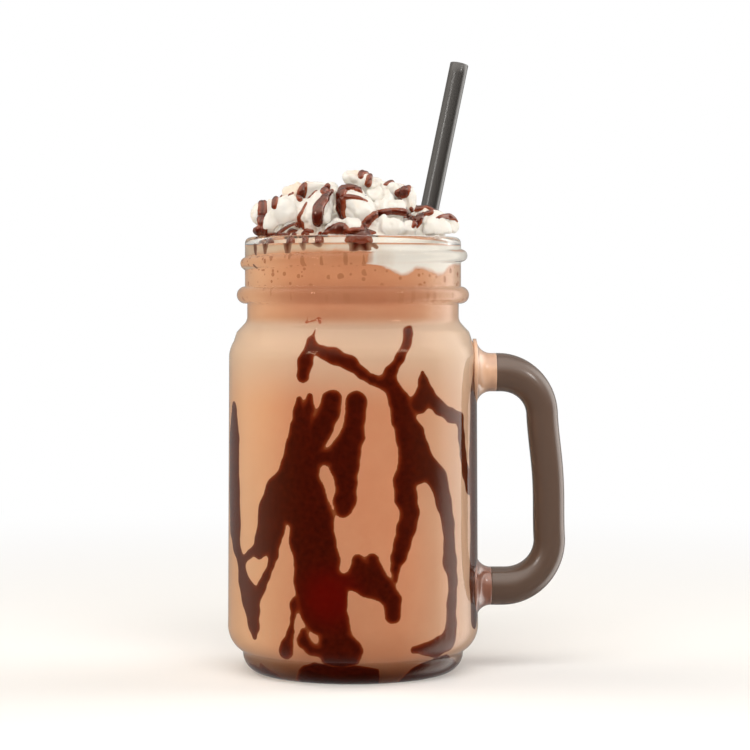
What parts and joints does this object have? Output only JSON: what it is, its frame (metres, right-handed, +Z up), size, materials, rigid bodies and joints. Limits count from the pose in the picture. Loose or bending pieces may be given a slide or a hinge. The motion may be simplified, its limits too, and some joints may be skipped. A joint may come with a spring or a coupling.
{
  "type": "milkshake in a handled drinking jar",
  "caption": "Chocolate milkshake in a clear glass drinking jar with a side handle, topped with piped whipped cream and sauce, with a leaning straw.",
  "frame": {"origin": "centre of the flat foot that the jar stands on, on the jar's axis", "axes": "+Z up along the jar's axis, +X towards the handle, -Y towards the side with the front of the screw thread"},
  "size_m": [0.1078, 0.0802, 0.1966],
  "materials": {
    "glass": "clear pressed glass, smooth outside",
    "handle_glass": "thick glass that looks smoky brown, glossy",
    "milkshake": "opaque light chocolate milk drink, wet",
    "cream": "soft off-white whipped cream, satin",
    "sauce": "glossy dark chocolate sauce",
    "straw": "glossy black thin plastic"
  },
  "bodies": {
    "root": {"jar": "glass", "milkshake": "milkshake", "whipped_cream": "cream", "straw": "straw"}
  },
  "joints": []
}
